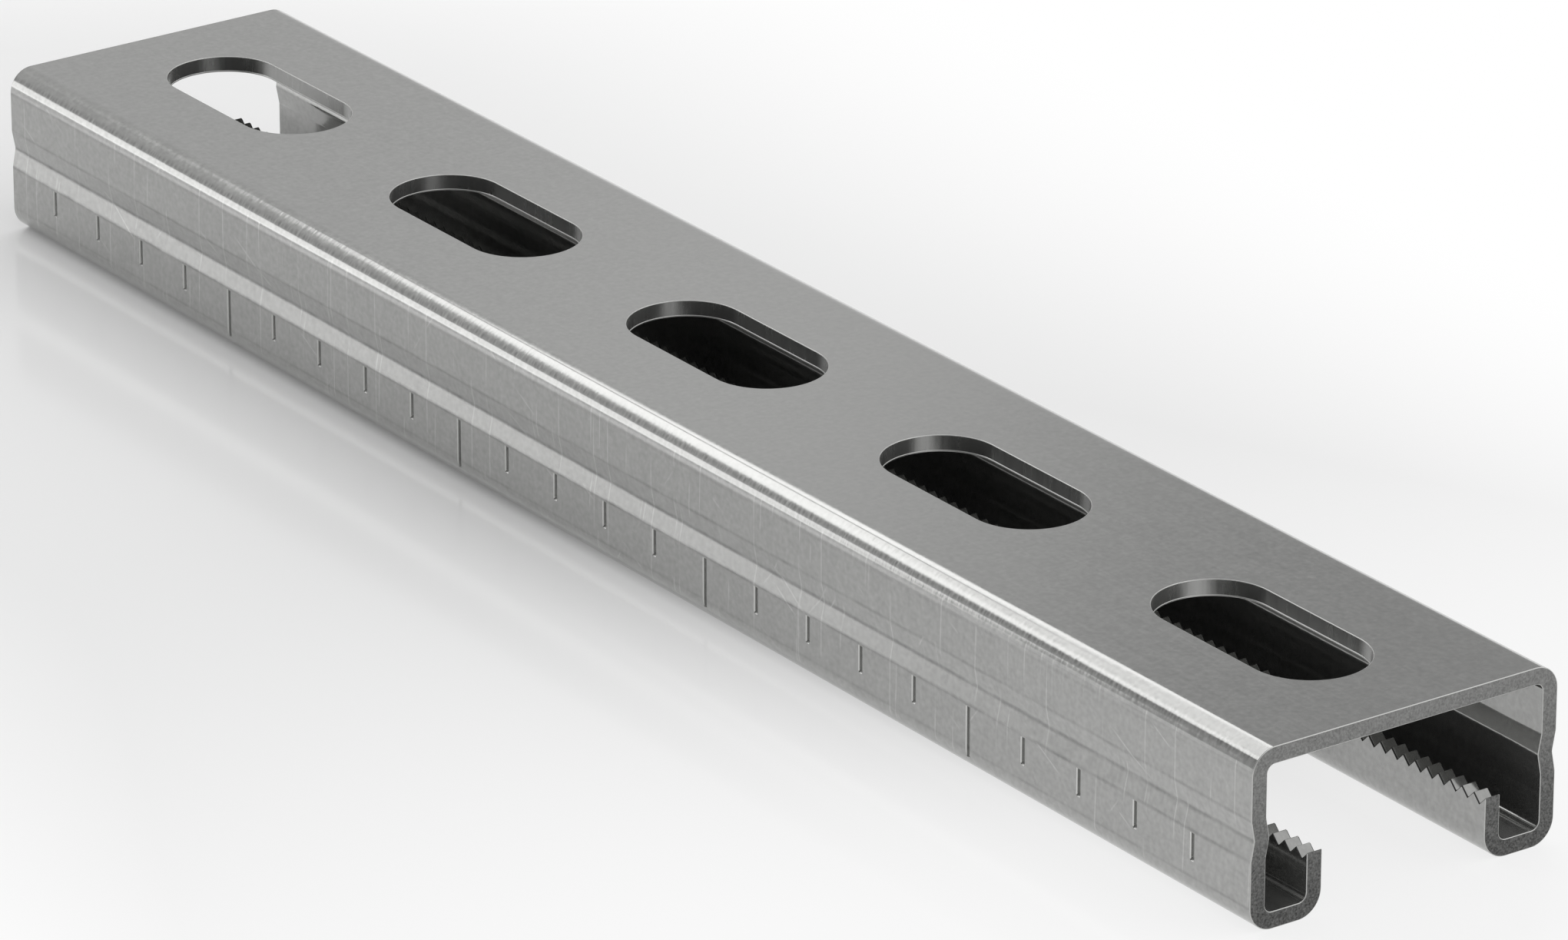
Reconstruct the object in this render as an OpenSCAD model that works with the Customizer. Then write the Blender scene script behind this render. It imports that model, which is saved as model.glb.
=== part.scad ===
/* [Channel] */
// Length of the piece of stock
channel_l = 250; // [150:10:1000]
// Width over the side walls
channel_w = 41; // [38:0.5:60]
// Height from the underside of the lips to the slotted back
channel_h = 21; // [19:0.5:41]
// Thickness of the strip
strip_t = 2; // [1.5:0.1:2.5]
// Inside radius of the bends
bend_r = 1; // [0.5:0.1:1.5]

/* [Lips] */
// Clear width of the mouth between the lips
mouth_w = 22; // [16:0.5:24]
// Height of the lips, up to the crests of their teeth
lip_h = 7.5; // [6:0.25:9]
// Distance from one tooth to the next
tooth_pitch = 2; // [2:0.1:4]
// Depth of the right-angled notches between the teeth
notch_d = 0.95; // [0.4:0.05:0.95]

/* [Side beads] */
// Height of the bead's valley above the underside of the lips
bead_z = 10.7; // [10:0.1:12]
// Width of the bead
bead_w = 4.7; // [3:0.1:5]
// Depth of the bead, pressed inwards
bead_d = 0.45; // [0.2:0.05:0.8]
// Radius at the bead's valley and shoulders
bead_r = 1.5; // [0.5:0.1:2]

/* [Slots in the back] */
// Length of a slot from end to end
slot_l = 30; // [20:1:40]
// Width of a slot
slot_w = 14; // [9:0.5:18]
// Distance from one slot to the next
slot_pitch = 50; // [45:1:75]
// Least distance from an end of the stock to the nearest slot's centre
slot_end = 25; // [22:1:40]

/* [Scale marks on one side] */
// Distance from one mark to the next
mark_step = 10; // [5:1:20]
// Number of steps from one long mark to the next
long_every = 5; // [2:1:10]
// Length of a short mark
mark_l = 3.2; // [2:0.1:4.5]
// Length of a long mark, which runs out on the lower bend
long_mark_l = 6.1; // [5:0.1:6.5]
// Width of a mark
mark_w = 0.6; // [0.3:0.05:1]
// Depth of a mark
mark_d = 0.3; // [0.1:0.05:0.5]
// Space between the bead and the top of the marks
mark_gap = 0.25; // [0:0.05:0.5]

/* [Hidden] */
$fn = 64;

// Outside radius of the bends
outer_r = bend_r + strip_t;
// Centre of a lip's bend, from the middle of the mouth
lip_bend_y = mouth_w / 2 + outer_r;
// How far a cutter runs past the face that it cuts
over = 1;
// Straight pieces that one round of the bead is made of
bead_steps = 4;

slots = floor((channel_l - 2 * slot_end) / slot_pitch) + 1;
notches = floor(channel_l / tooth_pitch);
marks = ceil(channel_l / mark_step) - 1;
mark_top = bead_z - bead_w / 2 - mark_gap;

// Place of copy i in a row of n that is centred on the origin
function row_place(i, n, pitch) = (i - (n - 1) / 2) * pitch;

// Direction from point a to point b
function towards(a, b) = (b - a) / norm(b - a);

// Corner b of the line a, b, c rounded off, as a quadratic curve between the flanks
function rounded(a, b, c, r) =
    let (u = towards(b, a), v = towards(b, c))
    let (reach = r / tan(acos(u * v) / 2))
    [for (i = [0:bead_steps])
        let (s = i / bead_steps)
        b + reach * ((1 - s) * (1 - s) * u + s * s * v)];

// Outer line of a side wall, with the V of the bead pressed into it
function wall_line() =
    let (
        low = [channel_w / 2, outer_r],
        shoulder_low = [channel_w / 2, bead_z - bead_w / 2],
        valley = [channel_w / 2 - bead_d, bead_z],
        shoulder_high = [channel_w / 2, bead_z + bead_w / 2],
        high = [channel_w / 2, channel_h - outer_r]
    )
    concat(
        [low],
        rounded(low, shoulder_low, valley, bead_r),
        rounded(shoulder_low, valley, shoulder_high, bead_r),
        rounded(valley, shoulder_high, high, bead_r),
        [high]
    );

// Quarter bend of the strip, turned from the first quadrant about the centre of its radius
module bend(centre, turn) {
    translate(centre)
        rotate(turn)
            intersection() {
                difference() {
                    circle(r = outer_r);
                    circle(r = bend_r);
                }
                square(outer_r + over);
            }
}

// Side wall between its two bends
module wall() {
    line = wall_line();
    last = len(line) - 1;
    polygon(concat(line, [for (i = [last:-1:0]) line[i] - [strip_t, 0]]));
}

// Half of the rolled section: back, bend, wall, bend, foot, bend and lip
module half_section() {
    translate([0, channel_h - strip_t])
        square([channel_w / 2 - outer_r, strip_t]);
    bend([channel_w / 2 - outer_r, channel_h - outer_r], 0);
    wall();
    bend([channel_w / 2 - outer_r, outer_r], -90);
    translate([lip_bend_y, 0])
        square([channel_w / 2 - outer_r - lip_bend_y, strip_t]);
    bend([lip_bend_y, outer_r], 180);
    translate([mouth_w / 2, outer_r])
        square([strip_t, lip_h - outer_r]);
}

module section() {
    half_section();
    mirror([1, 0])
        half_section();
}

// Slot with full round ends, cut down through the back
module slot() {
    straight = slot_l - slot_w;
    translate([0, 0, channel_h - strip_t - over])
        linear_extrude(strip_t + 2 * over)
            union() {
                square([straight, slot_w], center = true);
                for (side = [-1, 1])
                    translate([side * straight / 2, 0])
                        circle(d = slot_w);
            }
}

// Right-angled notches that leave the teeth standing on one lip
module notch_row() {
    half = notch_d + over;
    for (i = [0:notches - 1])
        translate([row_place(i, notches, tooth_pitch), mouth_w / 2 - over, lip_h - notch_d])
            rotate([-90, 0, 0])
                linear_extrude(strip_t + 2 * over)
                    polygon([[0, 0], [half, -half], [-half, -half]]);
}

// Marks pressed into the side wall, counted from the end at -X
module scale_marks() {
    for (i = [1:marks])
        let (long = i % long_every == 0 ? long_mark_l : mark_l)
            translate([
                i * mark_step - channel_l / 2 - mark_w / 2,
                -channel_w / 2 - over,
                mark_top - long
            ])
                cube([mark_w, mark_d + over, long]);
}

module channel() {
    color([0.66, 0.67, 0.66])
        difference() {
            rotate([90, 0, 90])
                linear_extrude(channel_l, center = true)
                    section();
            for (i = [0:slots - 1])
                translate([row_place(i, slots, slot_pitch), 0, 0])
                    slot();
            for (side = [0, 1])
                mirror([0, side, 0])
                    notch_row();
            scale_marks();
        }
}

channel();
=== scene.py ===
import math

import bmesh
import bpy
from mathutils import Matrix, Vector


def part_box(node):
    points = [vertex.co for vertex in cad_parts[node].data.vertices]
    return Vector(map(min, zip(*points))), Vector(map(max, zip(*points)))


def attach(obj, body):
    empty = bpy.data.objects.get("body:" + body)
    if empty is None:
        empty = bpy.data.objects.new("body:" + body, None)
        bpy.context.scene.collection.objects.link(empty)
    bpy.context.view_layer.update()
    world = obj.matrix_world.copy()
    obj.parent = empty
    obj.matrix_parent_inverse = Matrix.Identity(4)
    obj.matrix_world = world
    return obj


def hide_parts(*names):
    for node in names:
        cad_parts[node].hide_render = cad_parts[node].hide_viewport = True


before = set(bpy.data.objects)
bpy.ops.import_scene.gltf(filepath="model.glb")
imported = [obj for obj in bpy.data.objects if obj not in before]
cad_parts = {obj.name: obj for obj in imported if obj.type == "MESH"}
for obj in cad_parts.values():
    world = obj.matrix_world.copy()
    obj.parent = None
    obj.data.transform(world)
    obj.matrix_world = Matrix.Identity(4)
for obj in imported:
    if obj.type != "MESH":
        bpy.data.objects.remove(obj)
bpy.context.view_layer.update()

MM = 0.001
LOW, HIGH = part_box("channel")

# Sizes of the channel, in millimetres; the overall ones come from the frame
LENGTH = (HIGH.x - LOW.x) / MM
WIDTH = (HIGH.y - LOW.y) / MM
HEIGHT = (HIGH.z - LOW.z) / MM
STRIP_T = 2.0
BEND_R = 1.0
OUTER_R = BEND_R + STRIP_T
MOUTH_W = 22.0
LIP_H = 7.5
TOOTH_PITCH = 2.0
NOTCH_D = 0.95
BEAD_Z = 10.7
BEAD_W = 4.7
BEAD_D = 0.45
BEAD_R = 1.5
SLOT_L = 30.0
SLOT_W = 14.0
SLOT_PITCH = 50.0
SLOT_END = 25.0
MARK_STEP = 10.0
LONG_EVERY = 5
MARK_L = 3.2
LONG_MARK_L = 6.1
MARK_W = 0.6
MARK_D = 0.3
MARK_GAP = 0.25
# Slack for rounding where a length from the frame is counted off in steps
SLACK = 0.001

# Fine edges, in millimetres: the radius that the saw and the punch leave, the radius of the teeth's
# crests and roots, the flares of the teeth's and the marks' rims, and the lean of a mark's walls
EDGE_R = 0.09
CREST_R = 0.06
TOOTH_FLARE = 0.14
MARK_FLARE = 0.1
MARK_DRAFT = 0.04
# How far above a mark's lower end its floor starts to run out, and how steeply it does
MARK_RUN = 0.1
MARK_SLOPE = 1.5
# The ledge that the punch leaves at the foot of the slots' walls: its height and its width
LEDGE_H = 0.14
LEDGE_W = 0.06

# Fineness of the mesh
BEND_STEPS = 14
BEAD_STEPS = 6
CREST_STEPS = 2
SLOT_STEPS = 40
EDGE_STEPS = 3
# Angles between two faces: their edge is rounded above the first, and shaded smooth below the second
ROUND_ABOVE = math.radians(50)
SMOOTH_BELOW = math.radians(40)
# Distance between the cross-sections that split the long faces, and where the first one lies
RING_STEP = 10.0
RING_START = 5.5
# How far a cutter runs past the face that it cuts
OVER = 1.0

# The channel's finishes as material numbers, in the order in which build_channel adds them
ROLLED, WORN_EDGE, SAWN, PUNCHED, NOTCHED, TOOTH_RIM_SHADE, MARK_RIM_HIGHLIGHT = range(7)
# How much of a face's normal lies along an axis that it faces hardly, at a slant, and so on
HARDLY = 0.1
AT_A_SLANT = 0.3
BY_HALF = 0.5
MOSTLY = 0.9
SQUARELY = 0.99
# How near the centre of a face lies to what it is part of, in millimetres: right at it, or beside it
RIGHT_AT = 0.01
BESIDE = 0.1

# The camera, fitted to the photograph: it looks from in front of the marked side and the near end
CAMERA_AZIMUTH = math.radians(54.791)
CAMERA_ELEVATION = math.radians(22.633)
CAMERA_TARGET = (12.899, -1.063, 10.0)
CAMERA_DISTANCE = 1119.57
CAMERA_CLIP = (0.01, 20.0)
SENSOR_W = 36.0
LENS = 225.33

# Light levels, where 1 is plain white: the world in front of the marked side and behind the other one,
# a greyer ring about the -x axis, the wall there and its middle, and the cove all round at the floor
FRONT_LEVEL = 0.4
BACK_LEVEL = 0.95
GREY_LEVEL = 0.41
FAR_WALL_LEVEL = 0.74
WALL_MIDDLE_LEVEL = 0.65
COVE_LEVEL = 1.0
# Where they fade in: the back along y, the ring, the wall and its middle along -x, and the cove by its
# height, from the top down
BACK_FROM = (-0.5, 0.3)
GREY_FROM = (0.5, 0.64)
FAR_WALL_FROM = (0.72, 0.755)
WALL_MIDDLE_FROM = (0.765, 0.79)
COVE_FROM = (0.07, 0.045)
# Soft boxes: centre, the point that it faces, size in metres along its two sides, and brightness
LAMPS = {
    "over_left": ((-1.16, -0.43, 1.0), (-1.16, -0.43, 0.0), (0.28, 1.14), 2.0),
    "over_right": ((-1.15, 0.555, 1.0), (-1.15, 0.555, 0.0), (0.26, 0.68), 2.0),
    "over_middle": ((-0.8, 0.02, 1.0), (-0.8, 0.02, 0.0), (0.4, 1.76), 1.35),
    "low_left": ((-1.28, -0.79, 0.22), (0.0, 0.0, 0.22), (0.65, 0.44), 1.5),
    "back_right": ((1.03, 0.8, 0.55), (0.0, 0.0, 0.0), (1.6, 0.7), 0.8),
}
# The floor: half its width in metres, its colour and its roughness
FLOOR_SIZE = 6.0
FLOOR_WHITE = 0.95
FLOOR_ROUGHNESS = 0.12
# How much of the floor is plain white where the camera or the metal sees it, towards the far and the
# near end, and between which places along x it changes, in metres. The rest is satin, with the shadow.
# The share that rises towards the near end is painted light over the floor's shadow there.
WHITE_SHARE = (0.1, 0.78)
WHITER_FROM = (-0.03, 0.11)
# Clear of the channel's shadow the floor turns all white: where the middle of the shadow lies along y,
# and between which distances from there it turns, in metres
SHADOW_Y = -0.015
WHITE_FROM = (0.042, 0.14)

# The share of a finish's grey in red, green and blue
ZINC_TINT = (1.0, 1.004, 0.982)
# How metallic the zinc and the cut steel are, the punched slot walls, and the bare flanks and all rims
METALLIC = 0.8
PUNCHED_METALLIC = 0.85
BARE_METALLIC = 1.0

# Between which shares of the normal along y a face counts as a wall, and as the flat of one, and between
# which products of its shares along y and z as a bend
WALL_FROM = (0.5, 0.9)
FLAT_FROM = (0.9, 0.97)
BEND_FROM = (0.15, 0.4)

# Patterns of the rolled faces, in features per millimetre along x, y and z
STREAKS = (0.01, 2.5, 2.5)
HAIRS = (2.5, 0.35, 0.35)
CLOUDS = (0.35, 0.5, 0.5)
SPECKLE = (1.6, 1.6, 1.6)
BEND_RIPPLES = (1.8, 0.4, 0.4)

# Painted shade: darker lines along the walls, at the bends and the bead: height and half width in
# millimetres, and strength. Then their pattern, its mean, and how much it varies.
CREASE_SHADE = (
    (OUTER_R, 0.3, 0.5),
    (BEAD_Z - BEAD_W / 2, 0.35, 0.9),
    (BEAD_Z, 0.45, 1.0),
    (BEAD_Z + BEAD_W / 2, 0.35, 0.6),
    (HEIGHT - OUTER_R, 0.35, 0.3),
)
CREASE_PATTERN = (0.25, 1.0, 1.0)
CREASE_MEAN = 0.8
CREASE_CHANGE = 2.5

# Painted shade: dark ticks across the upper bends, along the band where they reflect dark. The middle
# and half width of their band, in millimetres.
# Then their pattern, its mean, and how much it varies.
TICK_Z = 19.85
TICK_HALF_W = 0.4
TICK_PATTERN = (2.2, 0.3, 0.3)
TICK_MEAN = 0.4
TICK_CHANGE = 3.5

# Hairlines scratched into the walls: lean in degrees, spacing and length in millimetres, and how sparse
# they are, where 0 keeps about half of them. Then half the width of one, and how softly it fades in.
SCRATCHES = (
    (0, 5.0, 14.0, -0.02),
    (2, 3.1, 9.0, 0.04),
    (-62, 7.0, 9.0, 0.06),
    (38, 8.0, 7.0, 0.08),
)
SCRATCH_HALF_W = 0.16
SCRATCH_FADE = 0.1

# Heights in millimetres between which the pocket beside a lip is darkened as painted shade, from the top
# down
POCKET_Z = (9.0, 6.0)

# Patterns of the cut faces and the edges, in features per millimetre, and the lean of the saw lines
NICKS = (1.2, 1.2, 1.2)
GRAIN = (4.5, 4.5, 4.5)
SAWN_PATCHES = (0.5, 0.5, 0.5)
SAW_LINES = (0.3, 0.3, 3.0)
SAW_TURN = (-32, 0, 0)
DRAG_LINES = (2.5, 2.5, 0.2)
PUNCHED_PATCHES = (0.4, 0.4, 0.4)


def arc(centre, radius, start, end, steps=BEND_STEPS):
    """Points of an outline on an arc, from one angle to another, in degrees."""
    points = []
    for i in range(steps + 1):
        a = math.radians(start + (end - start) * i / steps)
        points.append((centre[0] + radius * math.cos(a), centre[1] + radius * math.sin(a)))
    return points


def rounded(before, corner, after, radius, steps=BEAD_STEPS):
    """A corner of an outline, rounded off by a curve between its two flanks."""
    b = Vector(corner)
    u = (Vector(before) - b).normalized()
    v = (Vector(after) - b).normalized()
    reach = radius / math.tan(math.acos(u.dot(v)) / 2)
    points = []
    for i in range(steps + 1):
        s = i / steps
        points.append(tuple(b + reach * ((1 - s) ** 2 * u + s ** 2 * v)))
    return points


def wall_line(y):
    """The line of a side wall, with its bead, whose flats stand at y. It runs up from the lower bend."""
    low = (y, OUTER_R)
    shoulder_low = (y, BEAD_Z - BEAD_W / 2)
    valley = (y - BEAD_D, BEAD_Z)
    shoulder_high = (y, BEAD_Z + BEAD_W / 2)
    high = (y, HEIGHT - OUTER_R)
    return (
        rounded(low, shoulder_low, valley, BEAD_R)
        + rounded(shoulder_low, valley, shoulder_high, BEAD_R)
        + rounded(valley, shoulder_high, high, BEAD_R)
    )


def section_outline(lip_top):
    """The outline of the rolled section as (y, z) points, with the lips cut off square at lip_top."""
    side_y = WIDTH / 2
    bend_y = side_y - OUTER_R
    lip_bend_y = MOUTH_W / 2 + OUTER_R
    outside_half = (
        arc((bend_y, HEIGHT - OUTER_R), OUTER_R, 90, 0)
        + wall_line(side_y)[::-1]
        + arc((bend_y, OUTER_R), OUTER_R, 0, -90)
        + arc((lip_bend_y, OUTER_R), OUTER_R, -90, -180)
        + [(MOUTH_W / 2, lip_top)]
    )
    inside_half = (
        [(MOUTH_W / 2 + STRIP_T, lip_top)]
        + arc((lip_bend_y, OUTER_R), BEND_R, -180, -90)
        + arc((bend_y, OUTER_R), BEND_R, -90, 0)
        + wall_line(side_y - STRIP_T)
        + arc((bend_y, HEIGHT - OUTER_R), BEND_R, 0, 90)
    )
    half = outside_half + inside_half
    return half + [(-y, z) for y, z in half[::-1]]


def prism(outline, place, span):
    """A closed prism: place(u, v, w) is a point in millimetres, for (u, v) in outline and w in span."""
    bm = bmesh.new()
    rings = [[bm.verts.new(Vector(place(u, v, w)) * MM) for u, v in outline] for w in span]
    n = len(outline)
    for first, second in zip(rings, rings[1:]):
        for i in range(n):
            j = (i + 1) % n
            bm.faces.new((first[i], first[j], second[j], second[i]))
    bm.faces.new(rings[0][::-1])
    bm.faces.new(rings[-1])
    bmesh.ops.recalc_face_normals(bm, faces=bm.faces)
    return bm


def as_object(name, parts):
    """One mesh object out of several bmeshes, which are freed."""
    whole = bmesh.new()
    for bm in parts:
        piece = bpy.data.meshes.new("piece")
        bm.to_mesh(piece)
        bm.free()
        whole.from_mesh(piece)
        bpy.data.meshes.remove(piece)
    mesh = bpy.data.meshes.new(name)
    whole.to_mesh(mesh)
    whole.free()
    obj = bpy.data.objects.new(name, mesh)
    bpy.context.scene.collection.objects.link(obj)
    return obj


def ring_places():
    """The places along the channel of the cross-sections that its mesh is built on."""
    count = math.ceil((LENGTH - RING_START) / RING_STEP)
    between = [RING_START + i * RING_STEP - LENGTH / 2 for i in range(count)]
    return [-LENGTH / 2, *between, LENGTH / 2]


def slot_places():
    """The places of the slots' centres along the channel."""
    count = int((LENGTH - 2 * SLOT_END) / SLOT_PITCH + SLACK) + 1
    return [(i - (count - 1) / 2) * SLOT_PITCH for i in range(count)]


def slot_cutter(x):
    """A prism that punches a slot through the back and leaves a fine ledge at the foot of its walls."""
    straight = (SLOT_L - SLOT_W) / 2
    outline = (
        arc((x + straight, 0), SLOT_W / 2, -90, 90, SLOT_STEPS)
        + arc((x - straight, 0), SLOT_W / 2, 90, 270, SLOT_STEPS)
    )
    ledge = HEIGHT - STRIP_T + LEDGE_H

    def place(u, v, w):
        spine = min(max(u, x - straight), x + straight)
        inset = min(LEDGE_W, max(0.0, ledge + LEDGE_W - w))
        kept = 1 - 2 * inset / SLOT_W
        return spine + (u - spine) * kept, v * kept, w

    return prism(outline, place, (HEIGHT - STRIP_T - OVER, ledge, ledge + LEDGE_W, HEIGHT + OVER))


def comb_cutter(side):
    """A comb-shaped prism that cuts the teeth out of a lip's edge, slightly round and with flared rims."""
    half = TOOTH_PITCH / 2
    apex = LIP_H + half - NOTCH_D
    count = round(LENGTH / half)
    peaks = [(i * half - LENGTH / 2, apex - half * (i % 2)) for i in range(-1, count + 2)]
    outline = [peaks[0]]
    for before, corner, after in zip(peaks, peaks[1:], peaks[2:]):
        outline += rounded(before, corner, after, CREST_R, CREST_STEPS)
    outline += [peaks[-1], (peaks[-1][0], LIP_H + 2 * OVER), (peaks[0][0], LIP_H + 2 * OVER)]
    near = MOUTH_W / 2
    far = near + STRIP_T
    span = (near - OVER / 2, near + TOOTH_FLARE, far - TOOTH_FLARE, far + OVER / 2)

    def place(u, v, w):
        return u, side * w, v - max(near + TOOTH_FLARE - w, w - far + TOOTH_FLARE, 0.0)

    return prism(outline, place, span)


def mark_cutter(x, length):
    """A prism that presses a scale mark into the side at -y. Its rim flares, its lower end runs out."""
    top = BEAD_Z - BEAD_W / 2 - MARK_GAP
    bottom = top - length
    face = -WIDTH / 2
    half = MARK_W / 2
    outline = [
        (x - half - MARK_FLARE - OVER, face - OVER),
        (x - half, face + MARK_FLARE),
        (x - half + MARK_DRAFT, face + MARK_D),
        (x + half - MARK_DRAFT, face + MARK_D),
        (x + half, face + MARK_FLARE),
        (x + half + MARK_FLARE + OVER, face - OVER),
    ]

    def place(u, v, w):
        return u, v - MARK_SLOPE * max(0.0, bottom + MARK_RUN - w), w

    return prism(outline, place, (bottom - MARK_D, bottom + MARK_RUN, top))


def mark_cutters():
    """A cutter for every scale mark, counted from the end at -x."""
    count = math.ceil(LENGTH / MARK_STEP - SLACK) - 1
    cutters = []
    for i in range(1, count + 1):
        length = LONG_MARK_L if i % LONG_EVERY == 0 else MARK_L
        cutters.append(mark_cutter(i * MARK_STEP - LENGTH / 2, length))
    return cutters


def cut(obj, parts):
    """Takes the parts away from obj for good."""
    cutter = as_object("cutter", parts)
    tool = obj.modifiers.new("cut", "BOOLEAN")
    tool.operation = "DIFFERENCE"
    tool.solver = "EXACT"
    tool.object = cutter
    apply_modifiers(obj)
    bpy.data.objects.remove(cutter)


def round_edges(obj):
    """Rounds the sharp edges of obj off for good, and gives them the worn finish."""
    edges = obj.modifiers.new("edges", "BEVEL")
    edges.width = EDGE_R * MM
    edges.segments = EDGE_STEPS
    edges.limit_method = "ANGLE"
    edges.angle_limit = ROUND_ABOVE
    edges.use_clamp_overlap = False
    edges.material = WORN_EDGE
    apply_modifiers(obj)


def apply_modifiers(obj):
    """Makes the modifiers' result the mesh of obj."""
    depsgraph = bpy.context.evaluated_depsgraph_get()
    mesh = bpy.data.meshes.new_from_object(obj.evaluated_get(depsgraph))
    obj.modifiers.clear()
    obj.data = mesh


def finish_of(centre, normal):
    """The finish of a face, told by where its centre lies, in millimetres, and which way it faces."""
    along = abs(normal.x)
    upright = abs(normal.z)
    at_end = abs(centre.x) > LENGTH / 2 - RIGHT_AT
    by_marks = centre.y < -WIDTH / 2 + MARK_D + RIGHT_AT and centre.z < BEAD_Z
    by_slots = centre.z > HEIGHT - STRIP_T and abs(centre.y) < SLOT_W / 2 + BESIDE
    by_lips = abs(centre.y) < MOUTH_W / 2 + STRIP_T + BESIDE
    if at_end and along > SQUARELY:
        return SAWN
    # The marks' flared rims get a painted highlight.
    if by_marks and AT_A_SLANT < along < MOSTLY:
        return MARK_RIM_HIGHLIGHT
    if by_marks:
        return WORN_EDGE if normal.z > BY_HALF else ROLLED
    if by_slots and upright < MOSTLY:
        return PUNCHED if upright < HARDLY else WORN_EDGE
    # At the teeth, the flared rims get painted shade and the flanks their bare finish.
    if by_lips and along > AT_A_SLANT:
        return TOOTH_RIM_SHADE if abs(normal.y) > AT_A_SLANT else NOTCHED
    return ROLLED


def shade(obj):
    """Gives the faces of obj their finishes, apart from its worn edges, and shades it smooth."""
    for polygon in obj.data.polygons:
        polygon.use_smooth = True
        if polygon.material_index == ROLLED:
            polygon.material_index = finish_of(polygon.center / MM, polygon.normal)
    obj.data.set_sharp_from_angle(angle=SMOOTH_BELOW)
    normals = obj.modifiers.new("normals", "WEIGHTED_NORMAL")
    normals.keep_sharp = True


def build_channel():
    """The channel as one detailed mesh: rolled section, punched slots, notched lips, pressed marks."""
    section = section_outline(LIP_H + OVER)
    stock = prism(section, lambda u, v, w: (w, u, v), ring_places())
    channel = as_object("strut_channel", [stock])
    finishes = (
        rolled_zinc,
        worn_edge,
        sawn_steel,
        punched_steel,
        notched_steel,
        tooth_rim_shade,
        mark_rim_highlight,
    )
    for finish in finishes:
        channel.data.materials.append(finish())
    cut(channel, [slot_cutter(x) for x in slot_places()])
    round_edges(channel)
    cut(channel, [comb_cutter(1), comb_cutter(-1)])
    cut(channel, mark_cutters())
    shade(channel)
    return channel


def node_material(name):
    """A new material with an empty node tree, and its tree."""
    material = bpy.data.materials.new(name)
    material.use_nodes = True
    material.node_tree.nodes.clear()
    return material, material.node_tree


def calc(tree, operation, *values):
    """A Math node on numbers or sockets. Gives its output."""
    node = tree.nodes.new("ShaderNodeMath")
    node.operation = operation
    for socket, value in zip(node.inputs, values):
        if isinstance(value, (int, float)):
            socket.default_value = value
        else:
            tree.links.new(value, socket)
    return node.outputs[0]


def product(tree, first, *others):
    """All the values multiplied together."""
    for value in others:
        first = calc(tree, "MULTIPLY", first, value)
    return first


def weighted(tree, base, *terms):
    """A base number plus each (weight, value) term."""
    total = base
    for weight, value in terms:
        total = calc(tree, "MULTIPLY_ADD", value, weight, total)
    return total


def blend(tree, share, first, second):
    """The first value where the share is 0, and the second where it is 1."""
    kept = product(tree, calc(tree, "SUBTRACT", 1.0, share), first)
    return calc(tree, "MULTIPLY_ADD", share, second, kept)


def step(tree, value, start, end):
    """A smooth step from 0 to 1 as a value goes from start to end."""
    node = tree.nodes.new("ShaderNodeMapRange")
    node.interpolation_type = "SMOOTHSTEP"
    tree.links.new(value, node.inputs["Value"])
    node.inputs["From Min"].default_value = start
    node.inputs["From Max"].default_value = end
    return node.outputs["Result"]


def axis(tree, space, letter):
    """One coordinate of the place in metres (Object), the normal (Normal) or a world's ray (Generated)."""
    place = tree.nodes.new("ShaderNodeTexCoord")
    axes = tree.nodes.new("ShaderNodeSeparateXYZ")
    tree.links.new(place.outputs[space], axes.inputs[0])
    return axes.outputs[letter]


def unsigned(tree, space, letter):
    """One coordinate without its sign."""
    return calc(tree, "ABSOLUTE", axis(tree, space, letter))


def stretched(tree, scale, turn):
    """The piece's own coordinates, turned, and stretched to units per millimetre along x, y and z."""
    place = tree.nodes.new("ShaderNodeTexCoord")
    mapping = tree.nodes.new("ShaderNodeMapping")
    mapping.vector_type = "TEXTURE"
    mapping.inputs["Rotation"].default_value = [math.radians(a) for a in turn]
    mapping.inputs["Scale"].default_value = [MM / n for n in scale]
    tree.links.new(place.outputs["Object"], mapping.inputs["Vector"])
    return mapping.outputs["Vector"]


def noise(tree, scale, turn=(0, 0, 0), detail=2.0):
    """Noise about 0 in the piece's own coordinates. The scale is in features per millimetre."""
    node = tree.nodes.new("ShaderNodeTexNoise")
    node.inputs["Scale"].default_value = 1.0
    node.inputs["Detail"].default_value = detail
    tree.links.new(stretched(tree, scale, turn), node.inputs["Vector"])
    return calc(tree, "SUBTRACT", node.outputs["Fac"], 0.5)


def metal(name, terms, grey, roughness, relief, metallic=METALLIC):
    """A metal finish, with its relief in millimetres.

    From its node tree, terms gives the terms that vary its grey, its roughness and its height.
    """
    material, tree = node_material(name)
    grey_terms, rough_terms, height_terms = terms(tree)
    out = tree.nodes.new("ShaderNodeOutputMaterial")
    shader = tree.nodes.new("ShaderNodeBsdfPrincipled")
    shader.inputs["Metallic"].default_value = metallic
    factor = weighted(tree, 1.0, *grey_terms)
    colour = tree.nodes.new("ShaderNodeVectorMath")
    colour.operation = "SCALE"
    colour.inputs[0].default_value = [grey * tint for tint in ZINC_TINT]
    tree.links.new(factor, colour.inputs["Scale"])
    tree.links.new(colour.outputs[0], shader.inputs["Base Color"])
    tree.links.new(weighted(tree, roughness, *rough_terms), shader.inputs["Roughness"])
    bump = tree.nodes.new("ShaderNodeBump")
    bump.inputs["Strength"].default_value = 1.0
    bump.inputs["Distance"].default_value = relief * MM
    tree.links.new(weighted(tree, 0.0, *height_terms), bump.inputs["Height"])
    tree.links.new(bump.outputs["Normal"], shader.inputs["Normal"])
    tree.links.new(shader.outputs["BSDF"], out.inputs["Surface"])
    return material


def wall_and_bend(tree):
    """Two masks: 1 on the walls and lips, which face along y, and 1 on the bends between the flats."""
    sideways = unsigned(tree, "Normal", "Y")
    slanted = product(tree, sideways, unsigned(tree, "Normal", "Z"))
    return step(tree, sideways, *WALL_FROM), step(tree, slanted, *BEND_FROM)


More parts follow.
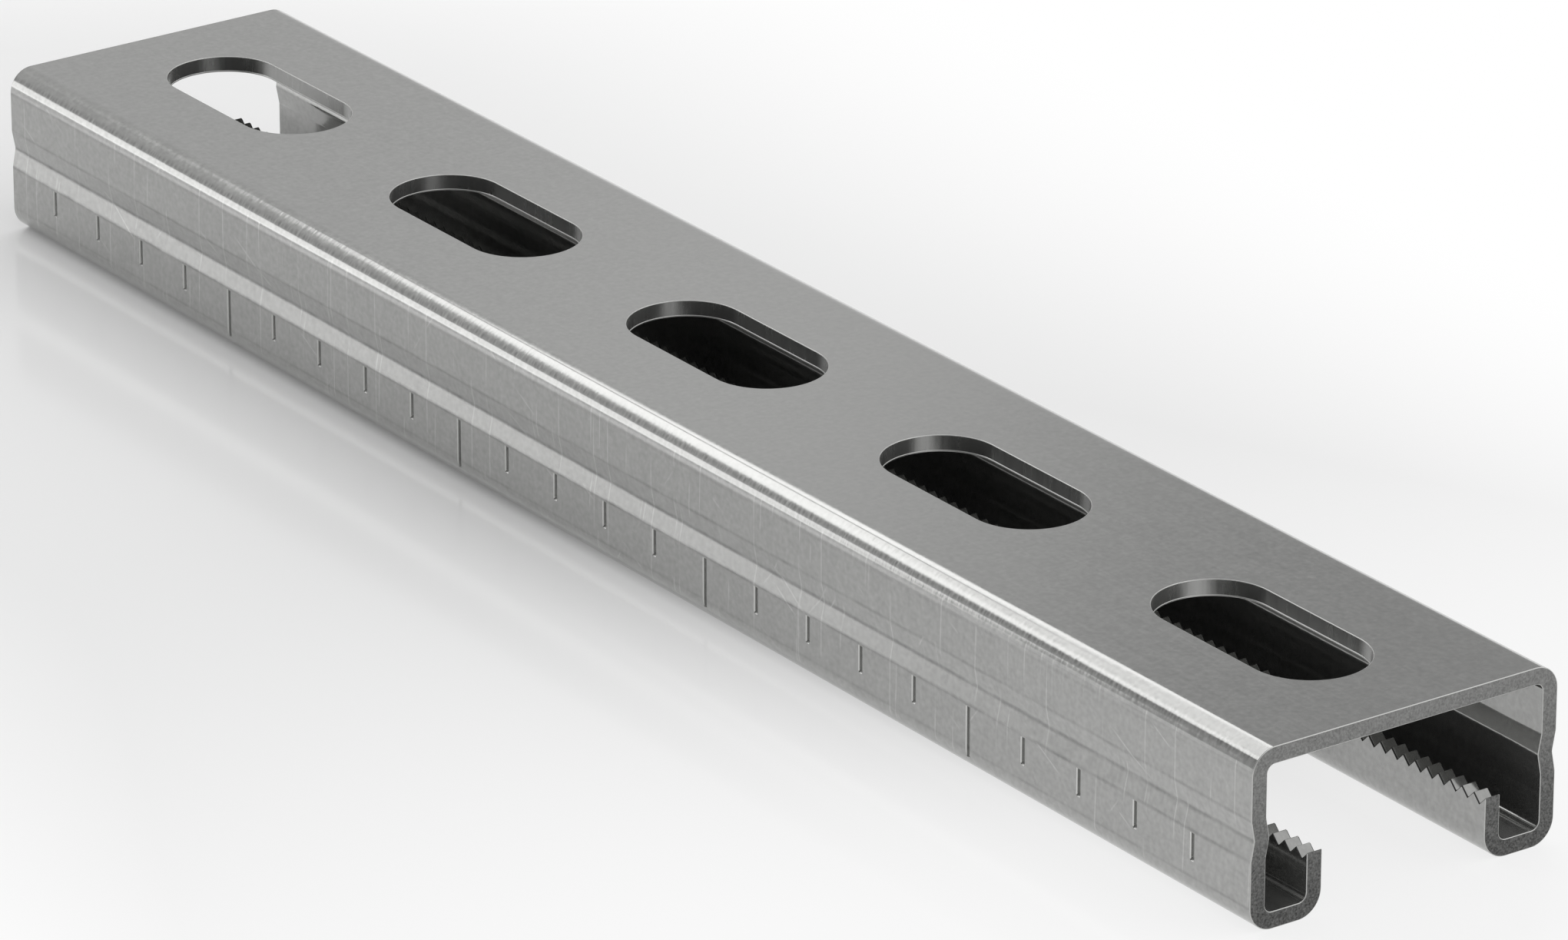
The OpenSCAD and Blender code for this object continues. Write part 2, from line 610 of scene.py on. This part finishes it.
def outside(tree):
    """A mask that is 1 on the outer skin of the side walls and their bends."""
    return calc(tree, "GREATER_THAN", unsigned(tree, "Object", "Y"), (WIDTH - STRIP_T) / 2 * MM)


def pocket_shade(tree):
    """A mask for painted shade that is 1 low down between a wall and its lip, over the foot, and fades to
    0 above them.
    """
    sideways = unsigned(tree, "Object", "Y")
    height = axis(tree, "Object", "Z")
    past_lip = calc(tree, "GREATER_THAN", sideways, (MOUTH_W + STRIP_T) / 2 * MM)
    short_of_wall = calc(tree, "LESS_THAN", sideways, (WIDTH - STRIP_T) / 2 * MM)
    over_foot = calc(tree, "GREATER_THAN", height, STRIP_T / 2 * MM)
    low = step(tree, height, *[z * MM for z in POCKET_Z])
    return product(tree, past_lip, short_of_wall, over_foot, low)


def band(tree, z, half_width):
    """1 at one height, in millimetres, fading to 0 at a half width above and below it."""
    away = calc(tree, "ABSOLUTE", calc(tree, "SUBTRACT", axis(tree, "Object", "Z"), z * MM))
    return step(tree, away, half_width * MM, 0.0)


def crease_shade(tree):
    """Uneven lines of painted shade on the outside of the walls, along the bends and the bead: up to 1,
    and 0 elsewhere.
    """
    darkest = 0.0
    for z, half_width, strength in CREASE_SHADE:
        line = product(tree, band(tree, z, half_width), strength)
        darkest = calc(tree, "MAXIMUM", line, darkest)
    pattern = noise(tree, CREASE_PATTERN, detail=3.0)
    unevenness = weighted(tree, CREASE_MEAN, (CREASE_CHANGE, pattern))
    return product(tree, darkest, outside(tree), unevenness)


def tick_shade(tree):
    """Uneven ticks of painted shade in a band along the outside of the upper bends, and 0 elsewhere."""
    pattern = noise(tree, TICK_PATTERN, detail=1.0)
    unevenness = weighted(tree, TICK_MEAN, (TICK_CHANGE, pattern))
    return product(tree, unevenness, band(tree, TICK_Z, TICK_HALF_W), outside(tree))


def hairlines(tree, lean, spacing, length, sparse):
    """Straight lines at random places, 1 on a line and 0 elsewhere. With no lean they run up the walls."""
    scale = (1 / spacing, 1 / length, 1 / length)
    turn = (0, lean, 0)
    across = tree.nodes.new("ShaderNodeSeparateXYZ")
    tree.links.new(stretched(tree, scale, turn), across.inputs[0])
    cells = tree.nodes.new("ShaderNodeTexVoronoi")
    cells.voronoi_dimensions = "1D"
    cells.inputs["Scale"].default_value = 1.0
    tree.links.new(across.outputs["X"], cells.inputs["W"])
    line = step(tree, cells.outputs["Distance"], SCRATCH_HALF_W / spacing, 0.0)
    kept = step(tree, noise(tree, scale, turn), sparse, sparse + SCRATCH_FADE)
    return product(tree, line, kept)


def scratches(tree):
    """The hairlines of every lean, on the flats of the outer walls only."""
    lines = 0.0
    for scratch in SCRATCHES:
        lines = calc(tree, "MAXIMUM", hairlines(tree, *scratch), lines)
    flat = step(tree, unsigned(tree, "Normal", "Y"), *FLAT_FROM)
    return product(tree, lines, flat, outside(tree))


def rolled_terms(tree):
    """Rolling streaks along x, hairs across them, patches, speckle, scratches, and painted shade at the
    creases, the ticks and the pockets.

    The walls are patchier, more speckled and hairier than the back, and the bends are rippled.
    """
    wall, bend = wall_and_bend(tree)
    streaks = noise(tree, STREAKS)
    hairs = noise(tree, HAIRS)
    clouds = noise(tree, CLOUDS, detail=3.0)
    speckle = noise(tree, SPECKLE, detail=1.0)
    ripples = noise(tree, BEND_RIPPLES, detail=3.0)
    lines = scratches(tree)
    # Painted shade: dark lines at the creases and dark ticks on the upper bends.
    dark = calc(tree, "ADD", crease_shade(tree), tick_shade(tree))
    patchy = weighted(tree, 0.05, (0.08, wall))
    speckled = weighted(tree, 0.2, (0.14, wall))
    hairy = weighted(tree, 0.3, (0.8, wall))
    rippled = product(tree, bend, 5.0)
    grey = [(patchy, clouds), (speckled, speckle), (0.06, streaks), (0.06, hairs), (0.28, lines)]
    # Painted shade, darker at the creases, the ticks and the pockets beside the lips.
    grey += [(-0.3, dark), (-0.22, pocket_shade(tree))]
    roughness = [(0.08, clouds), (0.08, speckle), (0.06, streaks), (0.06, lines)]
    height = [(hairy, hairs), (1.2, streaks), (0.8, speckle), (0.5, lines), (rippled, ripples)]
    return grey, roughness, height


def edge_terms(tree):
    """Small nicks and bright spots along an edge."""
    nicks = noise(tree, NICKS, detail=3.0)
    grey = [(0.25, nicks)]
    roughness = [(0.1, nicks)]
    height = [(1.0, nicks)]
    return grey, roughness, height


def sawn_terms(tree):
    """A bright and dark grain, faint saw lines that lean across the face, and painted shade that darkens
    the feet.
    """
    grain = noise(tree, GRAIN)
    patches = noise(tree, SAWN_PATCHES)
    saw = noise(tree, SAW_LINES, SAW_TURN, detail=1.0)
    # Painted shade: lighter towards the top of the cut face, darker towards the feet.
    rise = step(tree, axis(tree, "Object", "Z"), 0.0, HEIGHT * MM)
    grey = [(2.8, grain), (0.4, saw), (0.1, patches), (1.1, rise)]
    roughness = [(0.2, grain), (0.05, patches)]
    height = [(1.0, grain), (0.4, saw)]
    return grey, roughness, height


def punched_terms(tree):
    """Upright drag lines from the punch, and a patchy sheen."""
    drag = noise(tree, DRAG_LINES)
    patches = noise(tree, PUNCHED_PATCHES)
    grey = [(0.3, drag), (0.25, patches)]
    roughness = [(0.08, drag), (0.06, patches)]
    height = [(1.0, drag), (0.5, patches)]
    return grey, roughness, height


def rolled_zinc():
    """The rolled zinc-coated faces of the strip."""
    return metal("rolled_zinc", rolled_terms, grey=0.4, roughness=0.12, relief=0.0012)


def worn_edge():
    """The narrow edges of the ends, slots and ledges and the marks' lower ends, rubbed bright."""
    return metal("worn_edge", edge_terms, grey=0.5, roughness=0.3, relief=0.002)


def sawn_steel():
    """The bare steel of the cut ends."""
    return metal("sawn_steel", sawn_terms, grey=0.096, roughness=0.38, relief=0.012)


def punched_steel():
    """The walls of the slots."""
    return metal(
        "punched_steel", punched_terms, grey=0.34, roughness=0.26, relief=0.002, metallic=PUNCHED_METALLIC
    )


def notched_steel():
    """The smooth bare flanks of the teeth."""
    return metal(
        "notched_steel", punched_terms, grey=0.36, roughness=0.1, relief=0.0008, metallic=BARE_METALLIC
    )


def tooth_rim_shade():
    """The edges round the flanks of the teeth, painted near black as painted shade."""
    return metal("tooth_rim_shade", edge_terms, grey=0.06, roughness=0.4, relief=0.001, metallic=BARE_METALLIC)


def mark_rim_highlight():
    """The flared rims of the scale marks, lighter than the faces round them as a painted highlight."""
    return metal("mark_rim_highlight", edge_terms, grey=0.62, roughness=0.3, relief=0.001, metallic=BARE_METALLIC)


def light_world():
    """A pale studio with a white cove and a grey ring round the wall at -x, the same for all rays."""
    world = bpy.data.worlds.new("studio")
    bpy.context.scene.world = world
    world.use_nodes = True
    tree = world.node_tree
    tree.nodes.clear()
    out = tree.nodes.new("ShaderNodeOutputWorld")
    background = tree.nodes.new("ShaderNodeBackground")
    towards_far = product(tree, axis(tree, "Generated", "X"), -1.0)
    level = blend(tree, step(tree, axis(tree, "Generated", "Y"), *BACK_FROM), FRONT_LEVEL, BACK_LEVEL)
    level = blend(tree, step(tree, towards_far, *GREY_FROM), level, GREY_LEVEL)
    level = blend(tree, step(tree, towards_far, *FAR_WALL_FROM), level, FAR_WALL_LEVEL)
    level = blend(tree, step(tree, towards_far, *WALL_MIDDLE_FROM), level, WALL_MIDDLE_LEVEL)
    level = blend(tree, step(tree, axis(tree, "Generated", "Z"), *COVE_FROM), level, COVE_LEVEL)
    tree.links.new(level, background.inputs["Color"])
    tree.links.new(background.outputs["Background"], out.inputs["Surface"])


def add_lamp(name, centre, aim, size, radiance):
    """A rectangular soft box. Its size is level by upright, or x by y where it faces straight down."""
    data = bpy.data.lights.new(name, "AREA")
    data.shape = "RECTANGLE"
    data.size, data.size_y = size
    data.energy = radiance * math.pi * size[0] * size[1]
    lamp = bpy.data.objects.new(name, data)
    bpy.context.scene.collection.objects.link(lamp)
    lamp.location = centre
    lamp.rotation_euler = (Vector(aim) - Vector(centre)).to_track_quat("-Z", "Y").to_euler()


def add_lamps():
    """The soft boxes: three over the far end, one low beyond it, and a broad dim one at the back right."""
    for name, (centre, aim, size, radiance) in LAMPS.items():
        add_lamp(name, centre, aim, size, radiance)


def distance_from_shadow(tree):
    """The distance on the floor, in metres, from the line along the middle of the channel's shadow."""
    past_end = calc(tree, "SUBTRACT", unsigned(tree, "Object", "X"), LENGTH / 2 * MM)
    past_end = calc(tree, "MAXIMUM", past_end, 0.0)
    aside = calc(tree, "SUBTRACT", axis(tree, "Object", "Y"), SHADOW_Y)
    square = calc(tree, "MULTIPLY_ADD", past_end, past_end, product(tree, aside, aside))
    return calc(tree, "SQRT", square)


def white_share(tree):
    """How much of the floor is plain white to the camera and to reflections. To other rays it is 0."""
    rays = tree.nodes.new("ShaderNodeLightPath")
    seen = calc(tree, "ADD", rays.outputs["Is Camera Ray"], rays.outputs["Is Glossy Ray"])
    seen = calc(tree, "ADD", seen, rays.outputs["Is Transmission Ray"])
    seen = calc(tree, "MINIMUM", seen, 1.0)
    # Painted light: the share rises towards the near end and lifts the floor's shadow there.
    along = blend(tree, step(tree, axis(tree, "Object", "X"), *WHITER_FROM), *WHITE_SHARE)
    share = calc(tree, "MAXIMUM", along, step(tree, distance_from_shadow(tree), *WHITE_FROM))
    return product(tree, seen, share)


def floor_white():
    """Satin white, mixed with plain white where the camera or the metal sees it."""
    material, tree = node_material("floor_white")
    out = tree.nodes.new("ShaderNodeOutputMaterial")
    satin = tree.nodes.new("ShaderNodeBsdfPrincipled")
    satin.inputs["Base Color"].default_value = (FLOOR_WHITE, FLOOR_WHITE, FLOOR_WHITE, 1)
    satin.inputs["Roughness"].default_value = FLOOR_ROUGHNESS
    white = tree.nodes.new("ShaderNodeEmission")
    white.inputs["Strength"].default_value = 1.0
    mix = tree.nodes.new("ShaderNodeMixShader")
    tree.links.new(white_share(tree), mix.inputs["Fac"])
    tree.links.new(satin.outputs["BSDF"], mix.inputs[1])
    tree.links.new(white.outputs["Emission"], mix.inputs[2])
    tree.links.new(mix.outputs["Shader"], out.inputs["Surface"])
    return material


def add_floor():
    """A plain satin white floor under the channel, which keeps its shadow."""
    bm = bmesh.new()
    bmesh.ops.create_grid(bm, x_segments=1, y_segments=1, size=FLOOR_SIZE)
    floor = as_object("floor", [bm])
    floor.data.materials.append(floor_white())


def add_camera():
    """The camera of the photograph."""
    data = bpy.data.cameras.new("camera")
    data.lens = LENS
    data.sensor_width = SENSOR_W
    data.clip_start, data.clip_end = CAMERA_CLIP
    camera = bpy.data.objects.new("camera", data)
    bpy.context.scene.collection.objects.link(camera)
    back = Vector((
        math.sin(CAMERA_AZIMUTH) * math.cos(CAMERA_ELEVATION),
        -math.cos(CAMERA_AZIMUTH) * math.cos(CAMERA_ELEVATION),
        math.sin(CAMERA_ELEVATION),
    ))
    camera.location = (Vector(CAMERA_TARGET) + CAMERA_DISTANCE * back) * MM
    camera.rotation_euler = back.to_track_quat("Z", "Y").to_euler()
    bpy.context.scene.camera = camera


add_camera()
light_world()
add_lamps()
add_floor()

channel = build_channel()
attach(channel, "root")
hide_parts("channel")

bpy.context.scene.view_settings.view_transform = "Standard"
